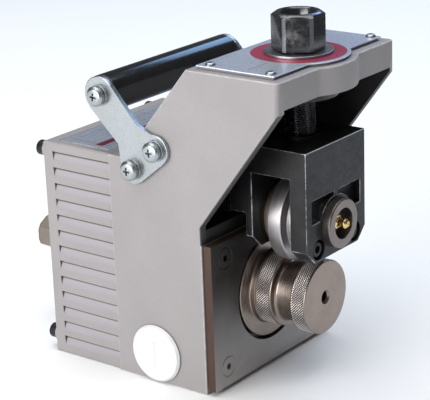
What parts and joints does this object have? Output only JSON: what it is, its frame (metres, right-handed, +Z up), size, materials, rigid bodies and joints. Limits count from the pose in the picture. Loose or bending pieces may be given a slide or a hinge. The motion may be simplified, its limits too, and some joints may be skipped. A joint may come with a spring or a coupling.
{
  "type": "roll groover",
  "caption": "Portable roll groover: a C-shaped housing with a knurled drive roll, a screw-fed slide block carrying a groove roll, a geared hex input and a carry handle.",
  "frame": {"origin": "centre of the housing's flat underside, below the middle of the lower box", "axes": "+Z up, -Y to the front where the drive roll's face looks, +X to the right seen from the front"},
  "size_m": [0.1458, 0.2566, 0.238],
  "materials": {
    "body_paint": "pebbled satin grey paint on cast iron",
    "dark_steel": "blackened ground steel",
    "black_steel": "black oxide",
    "block_black": "black oxide on a machined casting",
    "roll_steel": "hardened and ground steel",
    "gear_steel": "cut gear steel",
    "bearing_steel": "ground bearing steel",
    "zinc": "bright zinc plate",
    "grip_black": "smooth black plastic",
    "plug_white": "white moulded plastic",
    "seal_rubber": "black nitrile",
    "gasket_brown": "brown fibre gasket",
    "label_metal": "printed aluminium",
    "brass": "bright turned brass",
    "bronze": "bearing bronze"
  },
  "bodies": {
    "root": {"housing": "body_paint", "front_plate": "dark_steel", "plate_gasket": "gasket_brown", "plate_screws": "black_steel", "rear_cover": "body_paint", "cover_gasket": "seal_rubber", "cover_bolts": "black_steel", "cover_label": "label_metal", "ring_gear": "gear_steel", "front_bearing": "bearing_steel", "rear_bearing": "bearing_steel", "input_bearing": "bearing_steel", "front_seal": "seal_rubber", "input_seal": "seal_rubber", "side_plug": "plug_white", "left_bracket": "zinc", "right_bracket": "zinc", "handle_grip": "grip_black", "handle_rod": "bearing_steel", "handle_screws": "zinc", "bracket_screws": "zinc", "flat_washers": "zinc", "lock_washers": "zinc", "dial_plate": "label_metal", "dial_screws": "zinc", "feed_nut": "bearing_steel", "slide_gibs": "black_steel", "gib_screws": "black_steel"},
    "slide": {"slide_block": "block_black", "groove_roll_shaft": "roll_steel", "grease_fitting": "brass", "shaft_lock_screws": "black_steel", "roll_thrust_washers": "bronze", "screw_thrust_washer": "black_steel", "keeper_washer": "bearing_steel"},
    "feed": {"feed_screw": "black_steel", "keeper_ring": "black_steel"},
    "roll": {"groove_roll": "roll_steel", "groove_roll_bush": "bronze"},
    "drive": {"drive_roll": "roll_steel", "planet_carrier": "gear_steel", "carrier_key": "bearing_steel", "carrier_ring": "black_steel", "planet_pins": "bearing_steel", "planet_clips": "black_steel"},
    "planet_1": {"planet_gear_1": "gear_steel"},
    "planet_2": {"planet_gear_2": "gear_steel"},
    "planet_3": {"planet_gear_3": "gear_steel"},
    "input": {"input_shaft": "roll_steel", "input_ring": "black_steel"}
  },
  "joints": [
    {"name": "drive_spin", "type": "hinge", "parent": "root", "child": "drive", "pos_m": [0, -0.036, 0.0556], "axis": [0, 1, 0], "continuous": true},
    {"name": "input_spin", "type": "hinge", "parent": "root", "child": "input", "pos_m": [0, 0.074, 0.0556], "axis": [0, 1, 0], "continuous": true},
    {"name": "planet_1_spin", "type": "hinge", "parent": "drive", "child": "planet_1", "pos_m": [0, 0.046, 0.0781], "axis": [0, 1, 0], "continuous": true},
    {"name": "planet_2_spin", "type": "hinge", "parent": "drive", "child": "planet_2", "pos_m": [-0.01949, 0.046, 0.04435], "axis": [0, 1, 0], "continuous": true},
    {"name": "planet_3_spin", "type": "hinge", "parent": "drive", "child": "planet_3", "pos_m": [0.01949, 0.046, 0.04435], "axis": [0, 1, 0], "continuous": true},
    {"name": "slide_travel", "type": "slide", "parent": "root", "child": "slide", "axis": [0, 0, 1], "range_m": [0, 0.024]},
    {"name": "feed_turn", "type": "hinge", "parent": "slide", "child": "feed", "pos_m": [0, -0.0674, 0.2], "axis": [0, 0, 1], "range_deg": [0, 5761]},
    {"name": "groove_roll_spin", "type": "hinge", "parent": "slide", "child": "roll", "pos_m": [0, -0.066, 0.1078], "axis": [0, 1, 0], "continuous": true}
  ],
  "couplings": [
    {"joint": "input_spin", "follows": "drive_spin", "ratio": 4},
    {"joint": "planet_1_spin", "follows": "drive_spin", "ratio": -3},
    {"joint": "planet_2_spin", "follows": "drive_spin", "ratio": -3},
    {"joint": "planet_3_spin", "follows": "drive_spin", "ratio": -3},
    {"joint": "feed_turn", "follows": "slide_travel", "rad_per_m": 4188.8}
  ]
}
